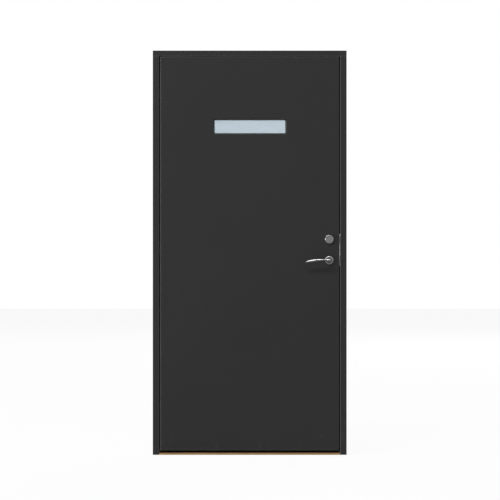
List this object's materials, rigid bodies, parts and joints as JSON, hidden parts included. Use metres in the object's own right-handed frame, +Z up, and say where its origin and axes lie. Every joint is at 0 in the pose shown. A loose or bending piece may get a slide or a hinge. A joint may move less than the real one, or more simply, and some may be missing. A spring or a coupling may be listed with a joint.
{
  "type": "glazed entrance door",
  "caption": "Flush outward opening entrance door set with a narrow frosted slot window, lever handle, key cylinder, oak sill and concealed crossed arm hinges.",
  "frame": {"origin": "on the floor line under the middle of the frame, at half the leaf's thickness", "axes": "+X across the door towards the handle as seen from outside, +Z up, -Y towards the outside"},
  "size_m": [0.99, 0.1852, 2.065],
  "materials": {
    "paint_frame": "matte",
    "oak": "satin",
    "aluminium": "satin",
    "steel": "satin",
    "rubber": "matte",
    "pvc": "satin",
    "zinc": "satin",
    "paint_leaf": "matte",
    "foam": "matte",
    "paint_leaf_trim": "matte",
    "glass_frosted": "satin",
    "glass_clear": "gloss",
    "bright": "satin",
    "brass": "satin"
  },
  "bodies": {
    "frame": {"jamb_hinge_side": "paint_frame", "jamb_lock_side": "paint_frame", "head": "paint_frame", "sill": "oak", "sill_strip": "aluminium", "sill_strip_screws": "steel", "gasket": "rubber", "strike_plate": "steel", "strike_box": "pvc", "strike_screws": "steel", "joint_screws": "steel", "fixing_bushes": "steel", "fixing_plugs": "pvc", "hinge_housings_jamb": "zinc", "hinge_pins_jamb": "steel", "hinge_screws_jamb": "steel"},
    "leaf": {"outer_skin": "paint_leaf", "inner_skin": "paint_leaf", "hinge_stile": "paint_frame", "lock_stile": "paint_frame", "top_rail": "paint_frame", "bottom_rail": "paint_frame", "core": "foam", "bottom_seal_carrier": "aluminium", "bottom_seal": "rubber", "window_lining": "pvc", "glazing_frame": "paint_leaf_trim", "glazing_bead": "paint_leaf_trim", "glazing_seals": "rubber", "pane_outer": "glass_frosted", "pane_inner": "glass_clear", "spacer": "aluminium", "bead_screws": "steel", "lock_case": "steel", "lock_cover": "steel", "faceplate": "steel", "faceplate_screws": "steel", "rose_outer": "bright", "rose_inner": "bright", "rose_screws": "steel", "ring_outer": "steel", "ring_inner": "steel", "cylinder_outer": "steel", "cylinder_inner": "steel", "hinge_housings_leaf": "zinc", "hinge_pins_leaf": "steel", "hinge_screws_leaf": "steel"},
    "lever": {"lever_outer": "bright", "lever_inner": "bright", "spindle": "steel", "follower": "steel", "set_screws": "steel"},
    "latch": {"latch_bolt": "steel"},
    "bolt": {"dead_bolt": "steel"},
    "plug": {"cylinder_plug": "brass"},
    "turn": {"thumb_turn": "steel"},
    "arms_outer": {"hinge_arms_outer": "zinc", "hinge_cross_pins": "steel"},
    "arms_middle": {"hinge_arms_middle": "zinc"}
  },
  "joints": [
    {"name": "door_swing", "type": "hinge", "parent": "frame", "child": "leaf", "pos_m": [-0.459, -0.031, 1.03], "axis": [0, 0, -1], "range_deg": [0, 90]},
    {"name": "lever_turn", "type": "hinge", "parent": "leaf", "child": "lever", "pos_m": [0.406, 0, 0.994], "axis": [0, -1, 0], "range_deg": [0, 45]},
    {"name": "latch_slide", "type": "slide", "parent": "leaf", "child": "latch", "axis": [-1, 0, 0], "range_m": [0, 0.012]},
    {"name": "bolt_slide", "type": "slide", "parent": "leaf", "child": "bolt", "axis": [1, 0, 0], "range_m": [0, 0.02]},
    {"name": "thumb_turning", "type": "hinge", "parent": "leaf", "child": "turn", "pos_m": [0.406, 0.04, 1.0925], "axis": [0, -1, 0], "range_deg": [0, 90]},
    {"name": "plug_turning", "type": "hinge", "parent": "leaf", "child": "plug", "pos_m": [0.406, -0.04, 1.0925], "axis": [0, -1, 0], "range_deg": [0, 90]},
    {"name": "outer_arms_turning", "type": "hinge", "parent": "frame", "child": "arms_outer", "pos_m": [-0.4662, -0.019, 1.05], "axis": [0, 0, -1], "range_deg": [0, 90]},
    {"name": "middle_arms_turning", "type": "hinge", "parent": "leaf", "child": "arms_middle", "pos_m": [-0.4518, -0.019, 1.05], "axis": [0, 0, -1], "range_deg": [-90, 0]}
  ],
  "couplings": [
    {"joint": "latch_slide", "follows": "lever_turn", "m_per_rad": 0.015279},
    {"joint": "thumb_turning", "follows": "bolt_slide", "rad_per_m": 78.54},
    {"joint": "plug_turning", "follows": "bolt_slide", "rad_per_m": 78.54},
    {"joint": "outer_arms_turning", "follows": "door_swing", "ratio": 1},
    {"joint": "middle_arms_turning", "follows": "door_swing", "ratio": -1}
  ]
}
